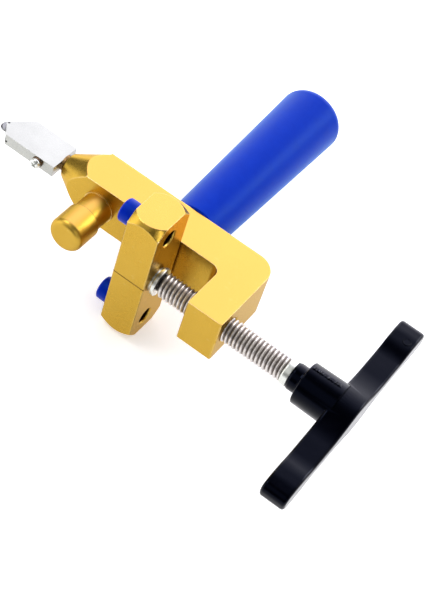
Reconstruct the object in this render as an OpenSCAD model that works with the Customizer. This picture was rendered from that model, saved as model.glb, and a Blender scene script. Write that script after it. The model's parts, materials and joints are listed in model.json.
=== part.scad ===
// Hand glass and tile cutter with a running pliers: a C-frame with a scoring head on its nose,
// an anvil post, and a jaw block that a screw drives towards the post to snap the scored sheet.
// Origin: where the screw axis crosses the axis of the anvil post. +X runs from the nose to the
// T-handle, +Y towards the grip, +Z up. Millimetres.

/* [Assembly] */
// which node to draw
// how far the jaw block has been wound away from the post
jaw_x = 26.97; // [9:0.01:43]

/* [Frame] */
// Y of the beam face that the jaw slides along
beam_y = 15.3; // [12:0.1:20]
// width of the beam in Y
beam_w = 20.0; // [14:0.5:26]
// height of the frame in Z
frame_h = 24.5; // [16:0.5:32]
// X of the inner face of the arm
arm_x = 65.0; // [50:0.5:90]
// thickness of the arm in X
arm_t = 18.2; // [12:0.2:26]
// Y of the free end of the arm
arm_end_y = -10.2; // [-20:0.2:-8]
// outer corner radius
corner_r = 9.5; // [2:0.5:15]
// inner corner radius
inner_r = 4.5; // [1:0.5:8]
// radius of the small end of the conical nose
nose_r = 5.4; // [4.8:0.1:9]
// X of the small end of the nose
nose_x = -26.0; // [-40:0.5:-18]
// half angle of the nose cone
nose_angle = 31.5; // [15:0.5:45]

/* [Scoring head] */
// Y of the middle of the head plate
head_y = 24.9; // [20:0.1:30]
// width of the head plate in Y
head_w = 17.4; // [10:0.2:22]
// thickness of the head plate in Z
head_t = 6.0; // [4:0.1:9]
// X of the rear face of the plate
head_rear_x = -27.3; // [-35:0.05:-26.5]
// X of the pointed tip of the plate
head_tip_x = -60.3; // [-75:0.1:-45]
// radius of the scoring wheel
wheel_r = 3.4; // [2:0.1:4]
// thickness of the scoring wheel
wheel_t = 1.1; // [0.8:0.1:2]
// distance from the plate tip back to the wheel axle
wheel_back = 1.25; // [1:0.05:3]

/* [Anvil post] */
// radius of the collar next to the beam
collar_r = 7.53; // [5:0.01:10]
// length of the collar
collar_len = 11.4; // [6:0.2:16]
// thickness of the lip against the beam
lip_h = 1.0; // [0.4:0.1:2]
// how far the lip stands out from the collar
lip_out = 0.5; // [0.2:0.1:1.5]
// radius of the cap that the sheet bears on
cap_r = 8.53; // [6:0.01:11]
// Y of the free end of the cap
cap_end_y = -11.0; // [-16:0.5:-2]
// rounding of the free end
cap_round = 3.0; // [1:0.5:5]

/* [Grip] */
// X of the grip axis
grip_x = 38.56; // [25:0.1:50]
// radius of the grip at the beam
grip_r1 = 13.3; // [10:0.1:18]
// radius of the grip at the free end
grip_r2 = 16.2; // [12:0.1:20]
// length of the grip
grip_len = 105.5; // [80:0.5:130]
// rounding of the free end
grip_round = 5.0; // [2:0.5:12]

/* [Jaw] */
// thickness of the jaw block in X
jaw_t = 16.75; // [12:0.25:22]
// Y of the open side of the block
jaw_y1 = -9.8; // [-14:0.1:-8]
// Y of the side that faces the beam
jaw_y2 = 14.3; // [11:0.1:15]
// half height of the block in Z
jaw_hz = 36.5; // [25:0.5:45]
// radius of the flat circle left on each end
jaw_flat_r = 10.64; // [9:0.01:13]
// height lost by the cone at the vertical corners
jaw_drop = 4.6; // [2:0.1:8]
// Z of the pads and their holes, above and below the screw
pad_z = 26.85; // [18:0.05:32]
// radius of a pad
pad_r = 5.7; // [4:0.1:7]
// how far a pad stands out of the block
pad_out = 7.6; // [3:0.1:10]
// radius of the counterbores on the back of the block
hole_r = 4.0; // [3:0.1:5]

/* [Screw] */
// outside diameter of the thread
screw_d = 12.0; // [8:0.5:16]
// thread pitch
pitch = 2.0; // [1:0.25:4]
// depth of the thread
thread_h = 1.15; // [0.5:0.05:1.5]
// X where the thread ends, with the jaw as drawn
thread_end_x = 113.9; // [95:0.1:125]
// radius of the plain end inside the handle
shank_r = 4.8; // [4:0.1:4.8]

/* [T-handle] */
// X where the plastic neck starts
neck_x = 117.5; // [105:0.1:130]
// X where the round boss starts
boss_x = 123.1; // [110:0.1:135]
// radius of the boss
boss_r = 10.5; // [8:0.05:14]
// X of the bar's inner face
bar_x = 138.8; // [125:0.1:150]
// thickness of the bar in X
bar_t = 12.5; // [8:0.5:18]
// half length of the bar
bar_l = 57.0; // [40:0.5:70]
// half height of the bar at the hub
bar_hub = 8.7; // [6:0.1:12]
// half height of the two arms
bar_arm = 3.9; // [2:0.1:8]
// half height of the two ends
bar_end = 4.9; // [2:0.1:10]
// turn of the bar about the screw, from level towards +Z
bar_turn = 4; // [0:1:359]

/* [Hidden] */
$fn = 96;
// everything that rides with the jaw is drawn from this X
jx = jaw_x;
jaw_back = jx + jaw_t;
dx = jaw_x - 26.97;
beam_y2 = beam_y + beam_w;
nose_y = beam_y + beam_w / 2;
head_y1 = head_y - head_w / 2;
head_y2 = head_y + head_w / 2;
wheel_x = head_tip_x + wheel_back;
wheel_y = head_y1 + 7.0;
clamp_x = -36.2;
clamp_washer_t = 1.0;
collar_end_y = beam_y - collar_len;
screw_r = screw_d / 2;
fit = 0.05;
gold = [0.86, 0.70, 0.30];
steel = [0.72, 0.72, 0.72];
dark_steel = [0.45, 0.45, 0.46];
blue = [0.05, 0.16, 0.70];
black = [0.06, 0.06, 0.08];

// cylinder along +X from x0 to x1, at (y, z)
module rod_x(x0, x1, r, y = 0, z = 0, r2 = -1) {
    translate([x0, y, z])
        rotate([0, 90, 0])
            cylinder(h = x1 - x0, r1 = r, r2 = (r2 < 0 ? r : r2));
}

// cylinder along +Y from y0 to y1, at (x, z)
module rod_y(y0, y1, r, x = 0, z = 0, r2 = -1) {
    translate([x, y0, z])
        rotate([-90, 0, 0])
            cylinder(h = y1 - y0, r1 = r, r2 = (r2 < 0 ? r : r2));
}

// plan of the C-frame in XY, with the nose end cut square
module frame_plan() {
    difference() {
        polygon([
            [-10, beam_y], [arm_x - inner_r, beam_y], [arm_x - inner_r, beam_y - inner_r],
            [arm_x, beam_y - inner_r], [arm_x, arm_end_y + 0.5], [arm_x + 0.5, arm_end_y],
            [arm_x + arm_t - 0.5, arm_end_y], [arm_x + arm_t, arm_end_y + 0.5],
            [arm_x + arm_t, beam_y2 - corner_r], [arm_x + arm_t - corner_r, beam_y2],
            [-10, beam_y2],
        ]);
        translate([arm_x - inner_r, beam_y - inner_r])
            circle(r = inner_r);
    }
    translate([arm_x + arm_t - corner_r, beam_y2 - corner_r])
        circle(r = corner_r);
}

module frame_body() {
    // the cone starts behind a short, steeper chamfer
    cone_len = (16.2 - nose_r) / tan(nose_angle);
    color(gold)
        difference() {
            union() {
                translate([0, 0, -frame_h / 2])
                    linear_extrude(frame_h)
                        frame_plan();
                intersection() {
                    translate([nose_x, beam_y, -frame_h / 2])
                        cube([-9.4 - nose_x, beam_w, frame_h]);
                    union() {
                        rod_x(nose_x, nose_x + 1.3, nose_r - 1, nose_y, 0, nose_r + 0.8);
                        rod_x(nose_x + 1.3, nose_x + cone_len, nose_r + 0.8, nose_y, 0, 16.2);
                    }
                }
            }
            // bore for the screw, a running fit on the thread crests
            rod_x(arm_x - 1, arm_x + arm_t + 1, screw_r + fit);
            rod_x(arm_x - 0.01, arm_x + 0.7, screw_r + 0.75, 0, 0, screw_r + fit);
            rod_x(arm_x + arm_t - 0.7, arm_x + arm_t + 0.01, screw_r + fit, 0, 0, screw_r + 0.75);
            // socket for the head spigot
            rod_x(nose_x - 1, -8, 4.05, nose_y);
            // tapped holes for the anvil stud and the grip stud
            rod_y(beam_y - 1, beam_y + 14, 3.05);
            rod_y(beam_y2 - 14, beam_y2 + 1, 4.05, grip_x);
        }
}

module nose_spigot() {
    color([0.62, 0.46, 0.24])
        union() {
            rod_x(nose_x - 0.6, -9, 4.0, nose_y);
            rod_x(head_rear_x, nose_x - 0.6, 4.0, nose_y);
            rod_x(-43.2, head_rear_x, 2.2, nose_y);
            rod_x(-44, -43.2, 1.5, nose_y, 0, 2.2);
        }
}

module head_body() {
    color([0.85, 0.85, 0.85])
        difference() {
            translate([0, 0, -head_t / 2])
                linear_extrude(head_t)
                    polygon([
                        [head_rear_x, head_y1], [head_rear_x, head_y2],
                        [head_tip_x + 9.45, head_y2], [head_tip_x, head_y1 + 6.8],
                        [head_tip_x + 5.1, head_y1],
                    ]);
            // slot for the wheel, open at both bevels of the tip
            translate([wheel_x - 10, wheel_y - 10, -wheel_t / 2 - 0.32])
                intersection() {
                    cube([20, 20, wheel_t + 0.64]);
                    translate([10, 10, 0])
                        cylinder(h = wheel_t + 0.64, r = wheel_r + 0.45);
                }
            // axle hole across the slot
            translate([wheel_x, wheel_y, -head_t])
                cylinder(h = head_t * 2, r = 0.5);
            // socket for the spigot
            rod_x(-44.4, head_rear_x + 1, 2.25, nose_y);
            // tapped hole for the clamp screw
            rod_y(head_y1 - 1, nose_y, 1.5, clamp_x);
            // small blind hole near the front corner
            rod_y(head_y1 - 1, head_y1 + 2, 0.5, head_tip_x + 5.8, -0.9);
        }
}

module cutting_wheel() {
    color([0.5, 0.5, 0.52])
        translate([wheel_x, wheel_y, 0])
            rotate_extrude()
                polygon([
                    [0.55, -wheel_t / 2], [wheel_r - 0.7, -wheel_t / 2], [wheel_r, -0.03],
                    [wheel_r, 0.03], [wheel_r - 0.7, wheel_t / 2], [0.55, wheel_t / 2],
                ]);
}

module wheel_axle() {
    color(dark_steel)
        translate([wheel_x, wheel_y, -head_t / 2 + 0.1])
            cylinder(h = head_t - 0.2, r = 0.49);
}

module clamp_screw() {
    y0 = head_y1 - clamp_washer_t;
    color(steel)
        difference() {
            union() {
                rod_y(y0, nose_y - 2.3, 1.45, clamp_x);
                rod_y(y0 - 1.3, y0, 2.65, clamp_x);
                rod_y(y0 - 2.2, y0 - 1.3, 1.7, clamp_x, 0, 2.65);
            }
            // cross recess
            translate([clamp_x - 1.5, y0 - 3, -0.32])
                cube([3.0, 1.9, 0.64]);
            translate([clamp_x - 0.32, y0 - 3, -1.5])
                cube([0.64, 1.9, 3.0]);
        }
}

module clamp_washer() {
    color([0.50, 0.36, 0.20])
        difference() {
            rod_y(head_y1 - clamp_washer_t, head_y1, 2.75, clamp_x);
            rod_y(head_y1 - 2, head_y1 + 1, 1.5, clamp_x);
        }
}

module anvil_collar() {
    color(gold)
        difference() {
            union() {
                rod_y(collar_end_y, beam_y, collar_r);
                rod_y(beam_y - lip_h, beam_y, collar_r + lip_out);
            }
            rod_y(collar_end_y - 1, beam_y + 1, 3.05);
        }
}

module anvil_cap() {
    color(gold)
        difference() {
            union() {
                rod_y(cap_end_y + cap_round, collar_end_y - 0.4, cap_r);
                rod_y(collar_end_y - 0.4, collar_end_y, cap_r, 0, 0, cap_r - 0.4);
                rod_y(cap_end_y, collar_end_y - 0.5, cap_r - cap_round);
                translate([0, cap_end_y + cap_round, 0])
                    rotate([90, 0, 0])
                        rotate_extrude()
                            translate([cap_r - cap_round, 0])
                                circle(r = cap_round);
            }
            rod_y(cap_end_y + 4, collar_end_y + 1, 3.05);
        }
}

module anvil_stud() {
    color(steel)
        union() {
            rod_y(cap_end_y + 5, beam_y + 12.5, 3.0);
            rod_y(beam_y + 12.5, beam_y + 13.2, 3.0, 0, 0, 2.3);
        }
}

module grip_sleeve() {
    rc = grip_r2 - grip_round;
    color(blue)
        difference() {
            union() {
                rod_y(beam_y2 + 0.6, beam_y2 + grip_len - grip_round, grip_r1, grip_x, 0, grip_r2);
                rod_y(beam_y2 + 0.05, beam_y2 + 0.6, grip_r1 - 0.5, grip_x, 0, grip_r1);
                rod_y(beam_y2 + 1, beam_y2 + grip_len, rc, grip_x);
                translate([grip_x, beam_y2 + grip_len - grip_round, 0])
                    rotate([90, 0, 0])
                        rotate_extrude()
                            translate([rc, 0])
                                circle(r = grip_round);
            }
            rod_y(beam_y2 - 1, beam_y2 + 92, 8.05, grip_x);
        }
}

module grip_core() {
    color([0.75, 0.75, 0.76])
        difference() {
            union() {
                rod_y(beam_y2 + 0.05, beam_y2 + 89, 8.0, grip_x);
                rod_y(beam_y2 + 89, beam_y2 + 90, 8.0, grip_x, 0, 7.0);
            }
            rod_y(beam_y2 - 1, beam_y2 + 20, 4.05, grip_x);
        }
}

module grip_stud() {
    color(steel)
        union() {
            rod_y(beam_y2 - 12.5, beam_y2 + 17.5, 4.0, grip_x);
            rod_y(beam_y2 - 13.2, beam_y2 - 12.5, 3.2, grip_x, 0, 4.0);
            rod_y(beam_y2 + 17.5, beam_y2 + 18.3, 4.0, grip_x, 0, 3.2);
        }
}

module jaw_block() {
    c = 0.4;
    jcx = jx + jaw_t / 2;
    jcy = (jaw_y1 + jaw_y2) / 2;
    reach = norm([jaw_t / 2, (jaw_y2 - jaw_y1) / 2]);
    slope = jaw_drop / (reach - jaw_flat_r);
    outer = 18;
    fall = (outer - jaw_flat_r) * slope;
    color(gold)
        difference() {
            intersection() {
                translate([0, 0, -jaw_hz])
                    linear_extrude(2 * jaw_hz)
                        polygon([
                            [jx + c, jaw_y1], [jaw_back - c, jaw_y1], [jaw_back, jaw_y1 + c],
                            [jaw_back, jaw_y2 - c], [jaw_back - c, jaw_y2], [jx + c, jaw_y2],
                            [jx, jaw_y2 - c], [jx, jaw_y1 + c],
                        ]);
                translate([jcx, jcy, 0])
                    rotate_extrude()
                        polygon([
                            [0, -jaw_hz], [jaw_flat_r, -jaw_hz], [outer, fall - jaw_hz],
                            [outer, jaw_hz - fall], [jaw_flat_r, jaw_hz], [0, jaw_hz],
                        ]);
            }
            // pocket for the screw end and its bushing
            rod_x(jx + 2.6, jaw_back + 1, 6.05);
            // line scribed across the open side, to set against the score
            translate([jx - 1, jaw_y1 - 1, -0.25])
                cube([jaw_t + 2, 1.3, 0.5]);
            for (z = [-pad_z, pad_z]) {
                // clearance hole, counterbore and its chamfer
                rod_x(jx - 1, jaw_back + 1, 2.2, 0.4, z);
                rod_x(jx + 7.0, jaw_back + 1, hole_r, 0.4, z);
                rod_x(jaw_back - 0.6, jaw_back + 0.01, hole_r, 0.4, z, hole_r + 0.61);
            }
        }
}

// one rubber pad with its blind screw hole, on the front of the jaw block
module pad(z) {
    x0 = jx - pad_out;
    color(blue)
        difference() {
            union() {
                rod_x(x0, x0 + 0.8, pad_r - 0.8, 0.4, z, pad_r);
                rod_x(x0 + 0.8, jx, pad_r, 0.4, z);
            }
            rod_x(jx - 5.2, jx + 1, 2.05, 0.4, z);
        }
}

module pad_upper() {
    pad(pad_z);
}

module pad_lower() {
    pad(-pad_z);
}

// socket head screws, seated at the bottom of the counterbores
module pad_screws() {
    color(dark_steel)
        for (z = [-pad_z, pad_z])
            difference() {
                union() {
                    rod_x(jx - 4.9, jx + 7.0, 2.0, 0.4, z);
                    rod_x(jx + 7.0, jx + 10.6, 3.5, 0.4, z);
                    rod_x(jx + 10.6, jx + 11.0, 3.5, 0.4, z, 3.1);
                }
                translate([jx + 8.9, 0.4, z])
                    rotate([0, 90, 0])
                        cylinder(h = 4, r = 1.73, $fn = 6);
            }
}

// silver bushing that holds the screw end; its flange stands just clear of the block
module spindle_bushing() {
    color([0.88, 0.88, 0.87])
        difference() {
            union() {
                rod_x(jaw_back - 9.2, jaw_back + 0.1, 6.0);
                rod_x(jaw_back, jaw_back + 1.2, 5.4);
                rod_x(jaw_back + 1.15, jaw_back + 1.35, 6.8, 0, 0, 7.0);
                rod_x(jaw_back + 1.35, jaw_back + 2.8, 7.0);
                rod_x(jaw_back + 2.8, jaw_back + 3.0, 7.0, 0, 0, 6.8);
            }
            rod_x(jaw_back - 10, jaw_back + 4, 4.05);
        }
}

// hardened disc that takes the push of the screw end
module thrust_washer() {
    color(dark_steel)
        rod_x(jx + 2.6, jx + 3.5, 5.9);
}

module spindle() {
    x1 = jaw_back + 3.7;
    n = floor((thread_end_x + dx - x1) / pitch);
    root = screw_r - thread_h;
    color([0.62, 0.61, 0.60])
        difference() {
            union() {
                // journal inside the bushing, with the groove for the ring
                rod_x(jx + 3.85, jx + 4.6, 3.4, 0, 0, 4.0);
                rod_x(jx + 4.6, x1, 4.0);
                // rounded thread ridges, one per pitch
                translate([x1, 0, 0])
                    rotate([0, 90, 0])
                        rotate_extrude()
                            polygon(concat(
                                [[0, 0], [root, 0]],
                                [for (i = [0 : n - 1]) for (k = [0 : 3])
                                    [k == 1 || k == 2 ? screw_r : root,
                                     i * pitch + [0.1, 0.72, 1.18, 1.8][k]]],
                                [[root, n * pitch], [0, n * pitch]]
                            ));
                // plain end, held in the handle insert
                rod_x(x1 + n * pitch - 0.01, neck_x + dx + 22, shank_r);
                rod_x(neck_x + dx + 22, neck_x + dx + 23, shank_r, 0, 0, shank_r - 1);
            }
            difference() {
                rod_x(jx + 5.6, jx + 6.4, 5.0);
                rod_x(jx + 5, jx + 7, 3.3);
            }
        }
}

// snap ring on the screw end, behind the bushing
module retaining_ring() {
    color(steel)
        difference() {
            rod_x(jx + 5.65, jx + 6.35, 5.3);
            rod_x(jx + 5, jx + 7, 3.32);
            translate([jx + 5, 0, -1.6])
                cube([2, 7, 3.2]);
        }
}

// steel sleeve moulded into the handle; its bright collar shows in front of the neck
module handle_insert() {
    x0 = neck_x + dx;
    color([0.86, 0.87, 0.85])
        difference() {
            union() {
                rod_x(x0 - 3.5, x0 - 2.9, 5.9, 0, 0, 6.3);
                rod_x(x0 - 2.9, x0, 6.3);
                rod_x(x0, x0 + 7, 5.5);
                rod_x(x0 + 7, x0 + 24, 7.0);
                rod_x(x0 + 10, x0 + 14, 7.6);
                rod_x(x0 + 17, x0 + 21, 7.6);
            }
            rod_x(x0 - 4, x0 + 25, shank_r + 0.02);
        }
}

// side view of the bar: hub with long slopes, two slim arms and two thicker ends
module bar_plan() {
    top = [
        [-bar_l + 2.2, bar_end - 0.8], [-bar_l + 5.5, bar_end], [-48, bar_end + 0.35],
        [-41.3, bar_end], [-36.7, bar_arm - 0.2], [-15.2, bar_arm + 0.2], [-3, bar_hub - 0.4],
        [-1, bar_hub], [1, bar_hub], [3, bar_hub - 0.4], [15.2, bar_arm + 0.2],
        [36.7, bar_arm - 0.2], [41.3, bar_end], [48, bar_end + 0.35],
        [bar_l - 5.5, bar_end], [bar_l - 2.2, bar_end - 0.8],
    ];
    last = len(top) - 1;
    polygon(concat(
        top,
        [[bar_l - 0.5, 2.2], [bar_l, 0], [bar_l - 0.5, -2.2]],
        [for (i = [last : -1 : 0]) [top[i][0], -top[i][1]]],
        [[-bar_l + 0.5, -2.2], [-bar_l, 0], [-bar_l + 0.5, 2.2]]
    ));
}

module t_handle() {
    nx = neck_x + dx;
    bx = boss_x + dx;
    ix = bar_x + dx;
    color(black)
        difference() {
            union() {
                // neck and boss
                rod_x(nx, nx + 1, 5.8, 0, 0, 6.4);
                rod_x(nx + 1, bx + 0.5, 6.4, 0, 0, 6.9);
                rod_x(bx, bx + 0.8, boss_r - 0.9, 0, 0, boss_r - 0.1);
                rod_x(bx + 0.8, ix + 1, boss_r - 0.1, 0, 0, boss_r + 0.1);
                // parting line left along the boss
                rotate([bar_turn + 90, 0, 0])
                    translate([bx + 1.2, boss_r - 0.6, -0.35])
                        cube([ix - bx - 1, 1.0, 0.7]);
                // bar
                translate([ix, 0, 0])
                    rotate([bar_turn, 0, 0])
                        rotate([90, 0, 90])
                            linear_extrude(bar_t)
                                bar_plan();
            }
            rod_x(nx - 1, nx + 7.1, 5.52);
            rod_x(nx + 7, nx + 24.02, 7.02);
            rod_x(nx + 10, nx + 14, 7.62);
            rod_x(nx + 17, nx + 21, 7.62);
        }
}

frame_body();
nose_spigot();
head_body();
cutting_wheel();
wheel_axle();
clamp_screw();
clamp_washer();
anvil_collar();
anvil_cap();
anvil_stud();
grip_sleeve();
grip_core();
grip_stud();
jaw_block();
pad_upper();
pad_lower();
pad_screws();
spindle_bushing();
thrust_washer();
spindle();
retaining_ring();
handle_insert();
t_handle();
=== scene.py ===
import bpy, bmesh, json
from math import sin, cos, tan, pi, radians, hypot
from mathutils import Matrix, Vector, noise


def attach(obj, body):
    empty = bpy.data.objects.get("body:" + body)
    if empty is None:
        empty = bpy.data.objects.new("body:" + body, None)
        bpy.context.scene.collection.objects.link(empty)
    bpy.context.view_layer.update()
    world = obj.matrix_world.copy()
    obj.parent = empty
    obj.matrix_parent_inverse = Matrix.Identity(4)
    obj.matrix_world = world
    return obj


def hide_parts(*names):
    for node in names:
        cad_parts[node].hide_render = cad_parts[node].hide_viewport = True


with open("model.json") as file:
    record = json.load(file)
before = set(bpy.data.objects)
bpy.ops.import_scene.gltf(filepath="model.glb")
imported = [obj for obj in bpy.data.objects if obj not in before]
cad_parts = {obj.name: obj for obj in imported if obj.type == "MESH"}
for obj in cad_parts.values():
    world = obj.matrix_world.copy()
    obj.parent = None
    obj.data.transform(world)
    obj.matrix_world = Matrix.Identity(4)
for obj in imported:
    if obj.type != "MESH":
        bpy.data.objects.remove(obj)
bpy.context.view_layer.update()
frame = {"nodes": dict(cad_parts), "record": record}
nodes = frame["nodes"]
scene = bpy.context.scene
MM = 0.001

# ---------------------------------------------------------------- places on the object, in millimetres
# screw: its 2 mm thread, the smooth end in the jaw block with the ring's groove, and the stem in the handle
PITCH, R_CREST, R_ROOT = 2.0, 5.98, 5.02
THREAD_X0, THREAD_X1 = 47.15, 114.6
END_X, END_X1, RING_X0, RING_X1 = 30.82, 48.4, 32.55, 33.37
R_END, R_RING = 3.98, 3.31
STEM_X0, STEM_X1, R_STEM = 113.0, 140.4, 4.78
# T-handle: near ends of neck, boss and bar, the bar's thickness, and the radius of the boss at its ends
NECK_X, BOSS_X, BAR_X, BAR_T = 117.5, 123.1, 138.8, 12.5
R_BOSS, R_BOSS_END = 10.25, 10.55
# jaw block: its side towards -Y and the two counterbores in its back
SIDE_Y, BORE_Y, BORE_Z, BORE_R, BACK_X = -9.8, 0.4, 26.85, 4.0, 43.72
# anvil post: the seam between collar and cap, the beam's face behind it, and a radius that holds it all
SEAM_Y, BEAM_Y, POST_R = 3.5, 15.3, 9.0
# head plate: small blind hole in its side, and the clamp screw's head
BLIND_X, BLIND_Z, BLIND_R = -54.5, -0.9, 0.5
CLAMP_X, CLAMP_Y = -36.2, 15.2
FLOOR_Z = -37.0

# ---------------------------------------------------------------- camera
cam_data = bpy.data.cameras.new("camera")
cam = bpy.data.objects.new("camera", cam_data)
scene.collection.objects.link(cam)
scene.camera = cam
cam_data.lens = 104.07
cam_data.clip_end = 50
cam.location = (0.235718, -0.460683, 0.574423)
cam.rotation_euler = (radians(39.190), radians(-12.860), radians(34.895))


# ---------------------------------------------------------------- materials
class Surface:
    """A material whose colour, roughness and bump come from procedural nodes in millimetres."""

    def __init__(self, name, **fixed):
        self.m = bpy.data.materials.new(name)
        self.m.use_nodes = True
        self.nt = self.m.node_tree
        self.b = self.nt.nodes["Principled BSDF"]
        for k, v in fixed.items():
            self.b.inputs[k.replace("_", " ")].default_value = v
        tc = self.nt.nodes.new("ShaderNodeTexCoord")
        self.mm = self.node("VectorMath", 0, {0: tc.outputs["Object"], "Scale": 1.0 / MM}, operation="SCALE")

    def node(self, kind, out, ins=None, **props):
        n = self.nt.nodes.new("ShaderNode" + kind)
        for k, v in props.items():
            setattr(n, k, v)
        for k, v in (ins or {}).items():
            self.put(n.inputs[k], v)
        return n.outputs[out]

    def put(self, socket, v):
        if isinstance(v, bpy.types.NodeSocket):
            self.nt.links.new(v, socket)
        else:
            socket.default_value = v

    def math(self, op, a, b=0.0):
        return self.node("Math", 0, {0: a, 1: b}, operation=op)

    def noise(self, scale, detail=3.0, rough=0.5, stretch=None, distortion=0.0):
        v = self.mm
        if stretch:
            v = self.node("VectorMath", 0, {0: v, 1: stretch}, operation="MULTIPLY")
        ins = {"Vector": v, "Scale": scale, "Detail": detail, "Roughness": rough, "Distortion": distortion}
        return self.node("TexNoise", 0, ins)

    def times(self, a, b):
        return self.math("MULTIPLY", a, b)

    def radius(self, a, b):
        """Distance from an axis, out of the two coordinates across it."""
        return self.math("SQRT", self.math("ADD", self.times(a, a), self.times(b, b)))

    def band(self, x, lo, hi, a=0.0, b=1.0):
        """x from lo..hi mapped to a..b, held at the ends."""
        return self.node("MapRange", 0, {0: x, 1: lo, 2: hi, 3: a, 4: b})

    def mix(self, t, a, b):
        n = self.nt.nodes.new("ShaderNodeMix")
        n.data_type = "RGBA"
        for i, v in ((0, t), (6, a), (7, b)):
            if isinstance(v, (tuple, list)):
                v = (*v, 1.0)
            self.put(n.inputs[i], v)
        return n.outputs[2]

    def axis(self, i):
        return self.node("SeparateXYZ", i, {0: self.mm})

    def edge(self, reach, gain):
        """0 on open surfaces, 1 within the reach (mm) of an edge."""
        n = self.node("Bevel", 0, {"Radius": reach * MM}, samples=4)
        flat = self.node("NewGeometry", "Normal")
        near = self.node("VectorMath", "Value", {0: n, 1: flat}, operation="DOT_PRODUCT")
        return self.band(near, 1.0, 1.0 - gain)

    def colour(self, c):
        self.put(self.b.inputs["Base Color"], c)
        return self

    def rough(self, r):
        self.put(self.b.inputs["Roughness"], r)
        return self

    def bump(self, h, depth_mm, strength=1.0):
        n = self.nt.nodes.new("ShaderNodeBump")
        n.inputs["Strength"].default_value = strength
        n.inputs["Distance"].default_value = depth_mm * MM
        self.put(n.inputs["Height"], h)
        self.put(self.b.inputs["Normal"], n.outputs[0])
        return self


def gold_anodised():
    s = Surface("gold_anodised", Metallic=1.0, Specular_Tint=(0.80, 0.74, 0.66, 1.0))
    x, y, height = s.axis(0), s.axis(1), s.math("ABSOLUTE", s.axis(2))
    cloud = s.band(s.noise(0.045, 2.0), 0.35, 0.65)
    grain = s.noise(2.2, 2.0, 0.6)
    base = s.mix(cloud, (0.520, 0.320, 0.040), (0.550, 0.345, 0.048))
    base = s.mix(s.band(grain, 0.3, 0.7, 0.0, 0.14), base, (0.62, 0.41, 0.08))
    # painted highlight: faces turned up or down are painted paler, standing in for the bright light the top
    # faces catch
    up_down_highlight = s.math("ABSOLUTE", s.node("SeparateXYZ", 2, {0: s.node("TexCoord", "Normal")}))
    base = s.mix(s.band(up_down_highlight, 0.90, 0.99), base, (0.63, 0.365, 0.078))
    # scuffs on the faces, and on the edges wear and a painted highlight (a paler colour along every edge),
    # but none beside the line scribed across the jaw block
    scuff = s.band(s.noise(0.9, 4.0, 0.6, (0.25, 1.0, 0.6), 0.4), 0.66, 0.72)
    base = s.mix(s.times(scuff, 0.22), base, (0.74, 0.58, 0.22))
    side = s.times(s.band(y, SIDE_Y + 0.6, SIDE_Y + 0.5), s.band(x, 14.0, 15.0))
    beside = s.times(side, s.band(height, 0.9, 0.6))
    wear_and_edge_highlight = s.times(s.edge(0.45, 0.05), s.band(s.noise(0.35, 3.0), 0.35, 0.6, 0.45, 0.95))
    base = s.mix(s.times(wear_and_edge_highlight, s.math("SUBTRACT", 1.0, beside)), base, (0.92, 0.76, 0.40))
    # the scribed line is dark
    depth = s.band(y, SIDE_Y - 0.05, SIDE_Y + 0.05)
    line = s.times(s.times(side, s.band(height, 0.40, 0.25)), depth)
    base = s.mix(s.times(line, 0.7), base, (0.22, 0.13, 0.045))
    # the turned post is a little duller than the milled faces, and painted shade darkens the step between
    # its collar and cap
    post = s.times(s.band(x, POST_R + 1.5, POST_R + 0.5), s.band(y, BEAM_Y - 0.02, BEAM_Y - 0.12))
    step_shade = s.times(s.band(y, SEAM_Y - 0.20, SEAM_Y - 0.08), s.band(y, SEAM_Y + 0.60, SEAM_Y + 0.48))
    base = s.mix(s.times(s.times(post, step_shade), 0.6), base, (0.16, 0.085, 0.012))
    # painted shade: the insides of the two counterbores are darkened
    r = s.radius(s.math("SUBTRACT", y, BORE_Y), s.math("SUBTRACT", height, BORE_Z))
    hole_shade = s.times(s.band(r, BORE_R + 0.30, BORE_R + 0.05), s.band(x, BACK_X - 0.32, BACK_X - 1.32))
    s.colour(s.mix(hole_shade, base, (0.06, 0.028, 0.008)))
    rough = s.math("ADD", s.band(grain, 0.3, 0.7, 0.24, 0.32), s.times(cloud, 0.03))
    s.rough(s.math("ADD", rough, s.times(post, 0.10)))
    return s.bump(s.math("ADD", grain, s.noise(0.6, 2.0)), 0.010, 0.35).m


def steel(name, a, b, rough, stretch=(1, 1, 1), scale=1.5):
    s = Surface(name, Metallic=1.0)
    streak = s.noise(scale, 4.0, 0.65, stretch)
    cloud = s.noise(0.12, 2.0)
    s.colour(s.mix(s.band(s.math("ADD", streak, cloud), 0.7, 1.3), a, b))
    s.rough(s.band(streak, 0.3, 0.7, rough - 0.05, rough + 0.07))
    return s.bump(streak, 0.004, 0.5).m


def screw_steel():
    s = Surface("screw_steel", Metallic=1.0)
    r = s.radius(s.axis(1), s.axis(2))
    # darker in the thread's grooves, and painted shade on the smooth end: nearly black, for the dark gap
    # between the bushing and the thread
    mottle = s.noise(0.9, 3.0, 0.6)
    uneven = s.math("ADD", r, s.band(mottle, 0.3, 0.7, -0.12, 0.12))
    groove = s.band(uneven, R_ROOT + 0.06, R_CREST - 0.30)
    metal = s.mix(groove, (0.22, 0.19, 0.172), s.mix(mottle, (0.62, 0.587, 0.563), (0.74, 0.702, 0.673)))
    s.colour(s.mix(s.band(r, R_END + 0.12, R_END + 0.62), (0.03, 0.026, 0.024), metal))
    s.rough(s.band(groove, 0.0, 1.0, 0.50, 0.33))
    return s.bump(s.noise(3.0, 3.0, 0.6, (1.0, 0.4, 0.4)), 0.006, 0.5).m


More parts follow.
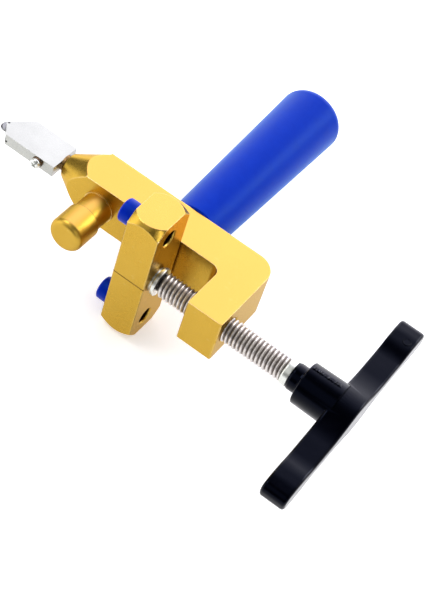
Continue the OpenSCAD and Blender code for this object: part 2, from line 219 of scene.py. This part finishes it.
def plastic(name, a, b, rough, tint, grain_scale, depth, spread=0.08, sink=0.0, ior=1.45, **fixed):
    s = Surface(name, IOR=ior, Specular_Tint=(*tint, 1.0), **fixed)
    grain = s.noise(grain_scale, 3.0, 0.6)
    cloud = s.band(s.noise(0.16, 4.0, 0.65), 0.35, 0.65)
    s.colour(s.mix(cloud, a, b))
    fine = s.band(grain, 0.3, 0.7, rough - spread / 2, rough + spread / 2)
    s.rough(s.math("ADD", fine, s.times(cloud, 0.05)))
    # sink marks are shallow and wide
    height = s.math("ADD", s.times(grain, depth), s.times(s.noise(0.13, 1.0), sink))
    return s.bump(height, 1.0, 0.5).m


def ground_steel():
    s = Surface("head_steel", Metallic=1.0)
    streak = s.noise(4.0, 4.0, 0.65, (0.15, 1.0, 1.0))
    shade = s.band(s.math("ADD", streak, s.noise(0.12, 2.0)), 0.7, 1.3)
    base = s.mix(shade, (0.405, 0.41, 0.38), (0.455, 0.46, 0.427))
    # painted shade: the inside of the small blind hole is darkened
    r = s.radius(s.math("SUBTRACT", s.axis(0), BLIND_X), s.math("SUBTRACT", s.axis(2), BLIND_Z))
    hole_shade = s.times(s.band(r, BLIND_R + 0.12, BLIND_R), s.band(s.axis(1), 18.4, 18.0))
    s.colour(s.mix(hole_shade, base, (0.02, 0.02, 0.02)))
    s.rough(s.band(streak, 0.3, 0.7, 0.21, 0.33))
    return s.bump(streak, 0.004, 0.5).m


finish = {
    "gold_anodised": gold_anodised(),
    # the dark brass is partly its own bronze colour and partly painted shade, kept dark for the shaded neck
    # behind the nose cone
    "brass": steel("brass", (0.20, 0.12, 0.05), (0.30, 0.19, 0.08), 0.40, (1.0, 0.2, 0.2)),
    "head_steel": ground_steel(),
    "carbide": steel("carbide", (0.20, 0.20, 0.205), (0.30, 0.30, 0.305), 0.28, (1, 1, 1), 3.0),
    "dark_steel": steel("dark_steel", (0.12, 0.12, 0.12), (0.20, 0.19, 0.18), 0.42),
    "bright_steel": steel("bright_steel", (0.66, 0.675, 0.63), (0.76, 0.775, 0.73), 0.33, (1.0, 0.3, 0.3)),
    "screw_steel": screw_steel(),
    # the washer is partly its own dark brass and partly painted shade, kept dark for the shade under the
    # clamp screw's head
    "washer_brass": steel("washer_brass", (0.12, 0.08, 0.05), (0.20, 0.13, 0.08), 0.45),
    "blue_rubber": plastic("blue_rubber", (0.0001, 0.015, 0.41), (0.0002, 0.018, 0.44), 0.36,
                           (0.12, 0.8, 1.0), 1.6, 0.02, 0.10, ior=1.20, Sheen_Weight=0.36,
                           Sheen_Roughness=0.42, Sheen_Tint=(0.15, 0.72, 1.0, 1.0)),
    "blue_pad": plastic("blue_pad", (0.0003, 0.012, 0.38), (0.0006, 0.018, 0.46), 0.30,
                        (0.15, 0.6, 1.0), 1.2, 0.012, ior=1.30),
    "plain_aluminium": steel("plain_aluminium", (0.60, 0.60, 0.61), (0.68, 0.68, 0.69), 0.35,
                             (0.3, 1.0, 0.3)),
    "black_plastic": plastic("black_plastic", (0.0002, 0.0002, 0.0008), (0.0005, 0.0005, 0.0014), 0.13,
                             (0.055, 0.075, 0.16), 0.8, 0.010, sink=0.20),
}
slot_of = {x["node"]: x["material_slot"] for x in frame["record"]["subparts"]}
for name, ob in nodes.items():
    for ms in ob.material_slots:
        ms.material = finish[slot_of[name]]


# ---------------------------------------------------------------- CAD nodes: softened edges
def shading_group():
    """Drops imported normals and shades smooth across edges of up to about 35 degrees."""
    g = bpy.data.node_groups.new("clean_shading", "GeometryNodeTree")
    g.interface.new_socket("Geometry", in_out="INPUT", socket_type="NodeSocketGeometry")
    g.interface.new_socket("Geometry", in_out="OUTPUT", socket_type="NodeSocketGeometry")
    a, z = g.nodes.new("NodeGroupInput"), g.nodes.new("NodeGroupOutput")
    drop = g.nodes.new("GeometryNodeRemoveAttribute")
    drop.inputs["Name"].default_value = "custom_normal"
    faces = g.nodes.new("GeometryNodeSetShadeSmooth")
    edges = g.nodes.new("GeometryNodeSetShadeSmooth")
    edges.domain = "EDGE"
    angle = g.nodes.new("GeometryNodeInputMeshEdgeAngle")
    less = g.nodes.new("ShaderNodeMath")
    less.operation = "LESS_THAN"
    less.inputs[1].default_value = 0.61
    link = g.links.new
    link(a.outputs[0], drop.inputs[0])
    link(drop.outputs[0], faces.inputs[0])
    link(faces.outputs[0], edges.inputs[0])
    link(angle.outputs[0], less.inputs[0])
    link(less.outputs[0], edges.inputs["Shade Smooth"])
    link(edges.outputs[0], z.inputs[0])
    return g


shading = shading_group()


def soften(ob, width):
    """Rounds the node's sharp edges by a width in millimetres; 0 leaves them as they are."""
    ob.modifiers.new("weld", "WELD").merge_threshold = 2e-6
    ob.modifiers.new("clean", "NODES").node_group = shading
    if width:
        d = ob.modifiers.new("planar", "DECIMATE")
        d.decimate_type = "DISSOLVE"
        d.angle_limit = radians(0.6)
        b = ob.modifiers.new("bevel", "BEVEL")
        b.width = width * MM
        b.segments = 2
        b.limit_method = "ANGLE"
        b.angle_limit = radians(20)
        b.use_clamp_overlap = False
        b.miter_outer = "MITER_ARC"
    ob.modifiers.new("shade", "NODES").node_group = shading
    even = ob.modifiers.new("normals", "WEIGHTED_NORMAL")
    even.keep_sharp = True
    even.weight = 60


for name, width in {
    "frame_body": 0.32, "jaw_block": 0.27, "head_body": 0.20, "anvil_collar": 0.07, "anvil_cap": 0.26,
    "grip_sleeve": 0.0, "pad_upper": 0.35, "pad_lower": 0.35, "spindle_bushing": 0.22, "handle_insert": 0.25,
    "nose_spigot": 0.15, "cutting_wheel": 0.0, "wheel_axle": 0.08, "clamp_washer": 0.15, "pad_screws": 0.12,
    "thrust_washer": 0.1, "retaining_ring": 0.08, "grip_core": 0.0, "grip_stud": 0.0, "anvil_stud": 0.0,
}.items():
    soften(nodes[name], width)


# ---------------------------------------------------------------- pieces built in mesh code
def fillet(pts, radii, steps, closed=False):
    """The polyline with each corner replaced by an arc of its radius."""
    n, out = len(pts), []
    for i, p in enumerate(pts):
        r = radii[i]
        if r <= 0 or (not closed and i in (0, n - 1)):
            out.append(tuple(p))
            continue
        p = Vector(p)
        a, b = Vector(pts[i - 1]) - p, Vector(pts[(i + 1) % n]) - p
        la, lb = a.length, b.length
        a.normalize()
        b.normalize()
        half = a.angle(b) / 2
        # no arc where the line runs straight on
        if half > 1.56:
            out.append(tuple(p))
            continue
        cut = min(r / tan(half), la * 0.49, lb * 0.49)
        rr = cut * tan(half)
        c = p + (a + b).normalized() * (rr / sin(half))
        s, e = p + a * cut - c, p + b * cut - c
        turn = s.angle_signed(e)
        for k in range(steps + 1):
            t = -turn * k / steps
            out.append(tuple(c + Vector((s.x * cos(t) - s.y * sin(t), s.x * sin(t) + s.y * cos(t)))))
    return out


def add(name, verts, faces, body, stands_for, place=None, sharp=38):
    """A mesh object from millimetres. With a body, it rides that body and has the finish of the CAD node
    it stands for; without one, it is a tool for a later union or cut."""
    me = bpy.data.meshes.new(name)
    me.from_pydata([tuple(c * MM for c in v) for v in verts], [], faces)
    bm = bmesh.new()
    bm.from_mesh(me)
    if place:
        bmesh.ops.transform(bm, matrix=place, verts=bm.verts)
    bmesh.ops.remove_doubles(bm, verts=bm.verts, dist=1e-7)
    bmesh.ops.recalc_face_normals(bm, faces=bm.faces)
    bm.to_mesh(me)
    bm.free()
    me.shade_smooth()
    me.set_sharp_from_angle(angle=radians(sharp))
    ob = bpy.data.objects.new(name, me)
    scene.collection.objects.link(ob)
    if body:
        me.materials.append(finish[slot_of[stands_for]])
        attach(ob, body)
    return ob


def lathe(profile, n=72):
    """Closed solid of revolution about X from (x, r) points; r = 0 at both ends."""
    verts, faces, rings = [], [], []
    for x, r in profile:
        if r < 1e-6:
            rings.append([len(verts)])
            verts.append((x, 0.0, 0.0))
        else:
            rings.append(list(range(len(verts), len(verts) + n)))
            verts += [(x, r * cos(2 * pi * k / n), r * sin(2 * pi * k / n)) for k in range(n)]
    for a, b in zip(rings, rings[1:]):
        for k in range(n):
            k2 = (k + 1) % n
            q = [a[k % len(a)], a[k2 % len(a)], b[k2 % len(b)], b[k % len(b)]]
            q = [v for i, v in enumerate(q) if v not in q[:i]]
            if len(q) > 2:
                faces.append(q)
    return verts, faces


def slab(outline, x0, x1, r, steps):
    """The outline (y, z) run along X from x0 to x1, with its rims rounded by r."""
    n = len(outline)
    area = sum(outline[i - 1][0] * outline[i][1] - outline[i][0] * outline[i - 1][1] for i in range(n))
    side = 1 if area > 0 else -1
    normal = []
    for i in range(n):
        (ax, ay), (bx, by) = outline[i - 1], outline[(i + 1) % n]
        dx, dy = bx - ax, by - ay
        length = hypot(dx, dy)
        normal.append((dy / length * side, -dx / length * side))
    rings = []
    for end in (0, 1):
        for k in range(steps + 1):
            t = (k if end == 0 else steps - k) / steps * pi / 2
            inset = r * (1 - sin(t))
            x = x0 + r * (1 - cos(t)) if end == 0 else x1 - r * (1 - cos(t))
            rings.append([(x, p[0] - q[0] * inset, p[1] - q[1] * inset) for p, q in zip(outline, normal)])
    verts = [v for ring in rings for v in ring]
    faces = [tuple(range(n)), tuple(range((len(rings) - 1) * n, len(rings) * n))]
    for k in range(len(rings) - 1):
        for i in range(n):
            j = (i + 1) % n
            faces.append((k * n + i, k * n + j, (k + 1) * n + j, (k + 1) * n + i))
    return verts, faces


def merge(*meshes):
    """One list of vertices and one of faces from several meshes."""
    verts, faces = [], []
    for v, f in meshes:
        base = len(verts)
        verts += v
        faces += [tuple(i + base for i in q) for q in f]
    return verts, faces


def join(ob, others):
    """ob becomes the union of itself and the closed solids in others."""
    for o in others:
        m = ob.modifiers.new("union", "BOOLEAN")
        m.operation = "UNION"
        m.solver = "EXACT"
        m.object = o
    bpy.context.view_layer.update()
    me = bpy.data.meshes.new_from_object(ob.evaluated_get(bpy.context.evaluated_depsgraph_get()))
    ob.modifiers.clear()
    old, ob.data = ob.data, me
    me.name = ob.name
    bpy.data.meshes.remove(old)
    for o in others:
        bpy.data.objects.remove(o)


# ---- screw: a real right-hand thread in place of the CAD rings
def thread(n=48, m=12):
    """Closed helix with n steps a turn and m rows a pitch; it fades out to the root at both ends."""
    depth = [(R_CREST - R_ROOT) * (0.5 - 0.5 * cos(2 * pi * j / m)) ** 0.8 for j in range(m)]
    rows = int((THREAD_X1 - THREAD_X0) / PITCH) * m
    w = rows + 1
    verts, faces = [], []
    for i in range(n):
        a = 2 * pi * i / n
        for j in range(w):
            x = THREAD_X0 + PITCH * (j / m + i / n)
            fade = min(1.0, (x - THREAD_X0) / 0.5, (THREAD_X1 + PITCH - x) / 1.0)
            r = R_ROOT + depth[j % m] * max(0.0, fade)
            verts.append((x, r * cos(a), r * sin(a)))
    for i in range(n):
        # after a full turn the next row of faces starts one pitch further on
        k, shift = (i + 1) % n, m if i == n - 1 else 0
        for j in range(rows - shift):
            faces.append((i * w + j, i * w + j + 1, k * w + j + 1 + shift, k * w + j + shift))
    # each end is closed by the edge of the first or last row and the step of one pitch
    near = [i * w for i in range(n)] + list(range(m, 0, -1))
    far = [i * w + rows for i in range(n)] + [(n - 1) * w + rows - j for j in range(1, m + 1)]
    faces += [tuple(near), tuple(far)]
    return verts, faces


smooth_end = lathe([(END_X, 0), (END_X, R_END - 0.68), (END_X + 0.68, R_END), (RING_X0, R_END),
                    (RING_X0 + 0.02, R_RING), (RING_X1 - 0.02, R_RING), (RING_X1, R_END), (END_X1, R_END),
                    (END_X1, 0)])
stem = lathe([(STEM_X0, 0), (STEM_X0, R_STEM), (STEM_X1 - 0.9, R_STEM), (STEM_X1, 3.8), (STEM_X1, 0)])
screw = add("thread", *merge(thread(), smooth_end, stem), "screw", "spindle", sharp=60)
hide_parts("spindle")

# ---- T-handle: moulded bar, boss and neck
# a quarter of the bar's outline: distance along it, half width, corner radius
half = [(56.9, 4.5, 4.3), (49.0, 5.35, 20.0), (41.8, 5.1, 25.0), (36.0, 3.7, 25.0), (15.6, 4.0, 40.0),
        (0.0, 9.3, 22.0)]
upper = [(-x, y, r) for x, y, r in half] + half[-2::-1]
plan = upper + [(x, -y, r) for x, y, r in upper[::-1]]
outline = fillet([p[:2] for p in plan], [p[2] for p in plan], 9, True)
tilt = Matrix.Rotation(radians(4), 4, "X")
bar = add("t_handle_moulding", *slab(outline, BAR_X, BAR_X + BAR_T, 1.5, 7), None, None, tilt)
boss_side = fillet([(BOSS_X, 5.2), (BOSS_X, R_BOSS), (BAR_X + 2.2, R_BOSS_END)], [0, 0.8, 0], 5)
boss = lathe([(BOSS_X, 0), *boss_side, (BAR_X + 2.2, 0)], 96)
neck_side = fillet([(NECK_X, 3.0), (NECK_X, 6.1), (NECK_X + 1.2, 6.55), (NECK_X + 4.4, 6.55),
                    (BOSS_X + 1, 7.1)], [0, 0.4, 0.5, 1.0, 0], 4)
neck = lathe([(NECK_X, 0), *neck_side[1:], (BOSS_X + 1, 0)], 96)
join(bar, [add("boss", *boss, None, None), add("neck", *neck, None, None)])
bar.data.materials.clear()
bar.data.materials.append(finish["black_plastic"])
bevel = bar.modifiers.new("bevel", "BEVEL")
bevel.width = 0.30 * MM
bevel.segments = 2
bevel.limit_method = "ANGLE"
bevel.angle_limit = radians(50)
bar.modifiers.new("weld", "WELD").merge_threshold = 2e-5
bar.data.shade_smooth()
bar.data.set_sharp_from_angle(angle=radians(40))
even = bar.modifiers.new("normals", "WEIGHTED_NORMAL")
even.keep_sharp = True
even.weight = 90
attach(bar, "screw")
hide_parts("t_handle")


def flash_line(name, angle, seed):
    """The thin, uneven ridge that a mould's parting line leaves along the boss."""
    verts, faces, n = [], [], 40
    x0, x1 = BOSS_X + 0.9, BAR_X + 0.2
    r0, r1 = R_BOSS + 0.02, R_BOSS_END - 0.05
    c, s = cos(angle), sin(angle)
    for i in range(n + 1):
        x = x0 + (x1 - x0) * i / n
        r = r0 + (r1 - r0) * i / n
        height = 0.70 * (0.75 + 0.9 * noise.noise(Vector((i * 0.55, seed, 0))))
        width = 1.25 * (1 + 0.8 * noise.noise(Vector((i * 0.8, seed + 5, 0))))
        if i in (0, n):
            height = 0.02
        for u, v in ((-width, -0.3), (-width * 0.5, height), (width * 0.5, height), (width, -0.3)):
            verts.append((x, c * (r + v) - s * u, s * (r + v) + c * u))
    for i in range(n):
        for k in range(4):
            a, b = i * 4 + k, i * 4 + (k + 1) % 4
            faces.append((a, b, b + 4, a + 4))
    faces += [(0, 1, 2, 3), (4 * n, 4 * n + 1, 4 * n + 2, 4 * n + 3)]
    add(name, verts, faces, "screw", "t_handle")


flash_line("parting_line_top", radians(82), 2.0)
flash_line("parting_line_under", radians(-98), 9.0)

# ---- round mark that an ejector pin left near one end of the bar
mark = [(-0.4, 0), (-0.4, 2.1), (0.02, 2.1), (0.24, 1.95), (0.24, 1.70), (0.04, 1.5), (0.04, 0)]
spot = Matrix.Translation(Vector((BAR_X + 8.5, 45.6, 5.27)) * MM)
lie = tilt @ spot @ Matrix.Rotation(radians(-90), 4, "Y")
add("ejector_mark", *lathe(mark, 40), "screw", "t_handle", lie)


# ---- clamp screw: domed head with a cross recess
def clamp_screw():
    head = lathe([(-2.25, 0), (-2.22, 0.7), (-2.05, 1.4), (-1.7, 2.05), (-1.2, 2.5), (-0.7, 2.66),
                  (-0.25, 2.6), (0, 2.4), (0, 1.45), (7.2, 1.45), (7.6, 1.0), (7.6, 0)], 64)
    turn = Matrix.Translation(Vector((CLAMP_X, CLAMP_Y, 0)) * MM) @ Matrix.Rotation(radians(90), 4, "Z")
    ob = add("clamp_screw_head", *head, "frame", "clamp_screw", turn, 45)
    # each arm of the cross narrows from above the head down to its floor
    rim = [(-1.75, -0.36), (1.75, -0.36), (1.75, 0.36), (-1.75, 0.36)]
    verts = [(-2.6, p, q) for p, q in rim] + [(-1.0, p * 0.45, q * 0.6) for p, q in rim]
    faces = [(0, 1, 2, 3), (4, 5, 6, 7), (0, 1, 5, 4), (1, 2, 6, 5), (2, 3, 7, 6), (3, 0, 4, 7)]
    cross = []
    for a in (0, 1):
        arm = Matrix.Rotation(radians(35 + 90 * a), 4, "X")
        cross.append(add("cut%d" % a, verts, faces, None, None, turn @ arm))
    for c in cross:
        m = ob.modifiers.new("cut", "BOOLEAN")
        m.operation = "DIFFERENCE"
        m.solver = "EXACT"
        m.object = c
    bpy.context.view_layer.update()
    me = bpy.data.meshes.new_from_object(ob.evaluated_get(bpy.context.evaluated_depsgraph_get()))
    ob.modifiers.clear()
    ob.data = me
    me.shade_smooth()
    me.set_sharp_from_angle(angle=radians(40))
    for c in cross:
        bpy.data.objects.remove(c)
    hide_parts("clamp_screw")


clamp_screw()

# ---------------------------------------------------------------- floor and light
# the floor lies half a millimetre under the part and gives off a little light, like a light table
bpy.ops.mesh.primitive_plane_add(size=8, location=(0, 0, FLOOR_Z * MM))
floor = bpy.context.object
floor.name = "floor"
paper = Surface("floor_paper", Emission_Color=(1.0, 1.0, 1.0, 1.0), Emission_Strength=0.41)
paper.colour(paper.mix(paper.noise(0.02, 2.0), (0.90, 0.90, 0.90), (0.92, 0.92, 0.92))).rough(0.85)
floor.data.materials.append(paper.m)

world = bpy.data.worlds.new("world")
scene.world = world
world.use_nodes = True
sky = world.node_tree
bg = sky.nodes["Background"]
tc = sky.nodes.new("ShaderNodeTexCoord")


def lobe(axis, lo, hi, a, b):
    """A smooth step from a to b where the cosine of the angle from an axis goes from lo to hi."""
    n = sky.nodes.new("ShaderNodeVectorMath")
    n.operation = "DOT_PRODUCT"
    sky.links.new(tc.outputs["Generated"], n.inputs[0])
    n.inputs[1].default_value = axis
    step = sky.nodes.new("ShaderNodeMapRange")
    step.interpolation_type = "SMOOTHSTEP"
    sky.links.new(n.outputs["Value"], step.inputs[0])
    for i, v in ((1, lo), (2, hi), (3, a), (4, b)):
        step.inputs[i].default_value = v
    return step.outputs[0]


def combine(op, x, y):
    n = sky.nodes.new("ShaderNodeMath")
    n.operation = op
    sky.links.new(x, n.inputs[0])
    sky.links.new(y, n.inputs[1])
    return n.outputs[0]


# a bright wall behind and a bright panel at the left, dimmed by a dark room on the photographer's side and
# a grey card at the far left; then a pale panel beside the photographer
BACK = (-0.12, 0.90, 0.42)
back = lobe(BACK, 0.55, 1.0, 0.60, 2.6)
left = lobe((-0.85, -0.50, 0.17), 0.86, 0.97, 0.0, 1.9)
room = lobe((0.22, -0.617, 0.756), 0.35, 0.90, 1.0, 0.10)
card = lobe((-0.93, 0.22, 0.30), 0.78, 0.97, 1.0, 0.35)
front = lobe((-0.22, -0.617, 0.756), 0.88, 0.98, 0.0, 0.8)
walls = combine("MULTIPLY", combine("ADD", back, left), combine("MULTIPLY", room, card))
sky.links.new(combine("ADD", walls, front), bg.inputs["Strength"])
# the wall behind is a little bluer than the rest
tint = sky.nodes.new("ShaderNodeMix")
tint.data_type = "RGBA"
sky.links.new(lobe(BACK, 0.3, 0.9, 0.0, 1.0), tint.inputs[0])
tint.inputs[6].default_value = (1.0, 1.0, 1.0, 1.0)
tint.inputs[7].default_value = (1.0, 0.99, 1.10, 1.0)
sky.links.new(tint.outputs[2], bg.inputs["Color"])


def softbox(name, at, aim, size, power):
    d = bpy.data.lights.new(name, "AREA")
    d.shape = "RECTANGLE"
    d.size, d.size_y, d.energy = size, size, power
    o = bpy.data.objects.new(name, d)
    scene.collection.objects.link(o)
    o.location = at
    o.rotation_euler = (Vector(aim) - Vector(at)).to_track_quat("-Z", "Y").to_euler()


softbox("key", (-0.65, -0.13, 1.10), (0.03, 0.02, 0), 0.6, 6.0)
softbox("rim", (0.78, 0.84, 0.60), (0.05, 0.06, 0), 0.46, 5.0)
softbox("side", (-0.88, 0.86, 0.22), (0.04, 0.09, 0), 0.55, 1.3)
softbox("fill", (0.72, -0.62, 0.60), (0.06, 0.0, 0), 0.22, 1.0)

scene.view_settings.view_transform = "Standard"
